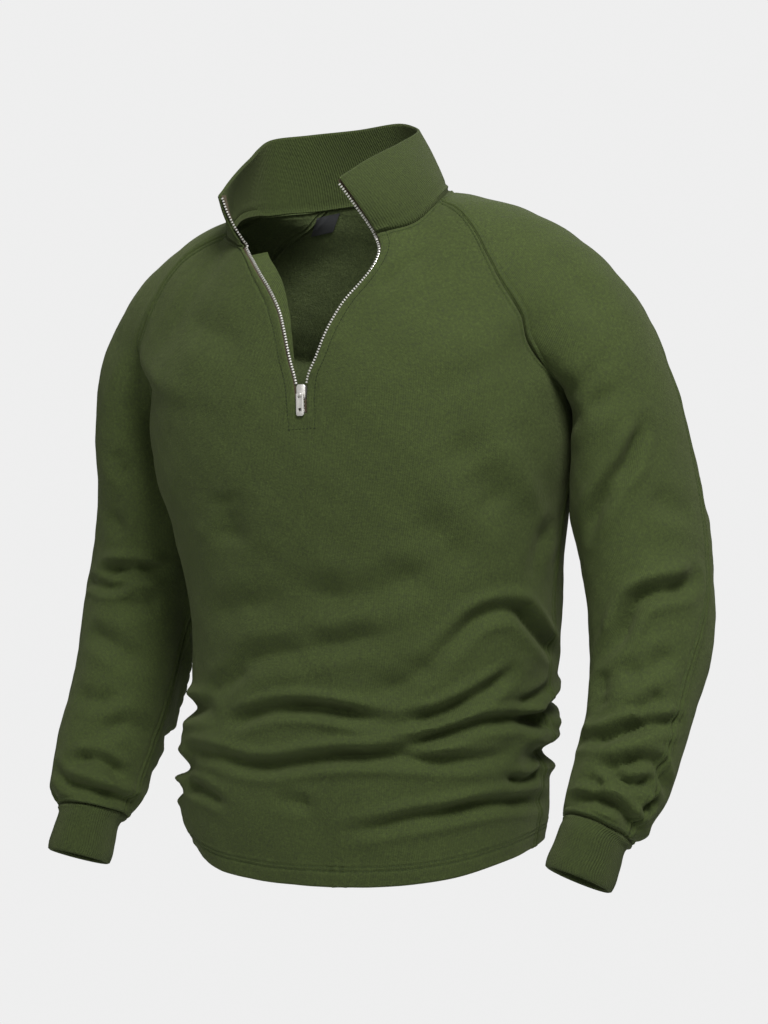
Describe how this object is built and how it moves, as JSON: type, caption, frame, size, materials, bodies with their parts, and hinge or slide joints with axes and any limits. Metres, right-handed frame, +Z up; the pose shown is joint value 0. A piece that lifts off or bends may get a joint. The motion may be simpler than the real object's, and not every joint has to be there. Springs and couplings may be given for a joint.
{
  "type": "quarter-zip raglan sweatshirt",
  "caption": "Dark olive quarter-zip sweatshirt with stand collar and raglan sleeves, hollow, in the shape it has when worn, zip open to the upper chest.",
  "frame": {"origin": "middle of the shoulder yoke, level with the side of the neck seam, where a wearer's shoulders hold the garment", "axes": "+Z up, -Y to the garment's front, +X to the wearer's left"},
  "size_m": [0.6758, 0.275, 0.717],
  "materials": {
    "fleece": "matt brushed fleece, dark olive green",
    "rib_knit": "matt rib knit, dark olive green",
    "zip_tape": "woven tape, taupe brown",
    "zip_metal": "plain silver-coloured metal",
    "label": "woven label, charcoal"
  },
  "bodies": {
    "garment": {"front": "fleece", "back": "fleece", "sleeve_left_front": "fleece", "sleeve_left_back": "fleece", "sleeve_right_front": "fleece", "sleeve_right_back": "fleece", "cuff_left": "rib_knit", "cuff_right": "rib_knit", "collar": "rib_knit", "zip_facing_right": "fleece", "zip_tape_left": "zip_tape", "zip_tape_right": "zip_tape", "zip_teeth_left": "zip_metal", "zip_teeth_right": "zip_metal", "zip_teeth_closed": "zip_metal", "zip_bottom_stop": "zip_metal", "slider": "zip_metal", "neck_label": "label"},
    "pull_tab": {"pull_tab": "zip_metal"}
  },
  "joints": [
    {"name": "tab_hinge", "type": "hinge", "parent": "garment", "child": "pull_tab", "pos_m": [0.0215, -0.14052, -0.17962], "axis": [-1, 0.0009, 0.0092], "range_deg": [0, 150]}
  ]
}
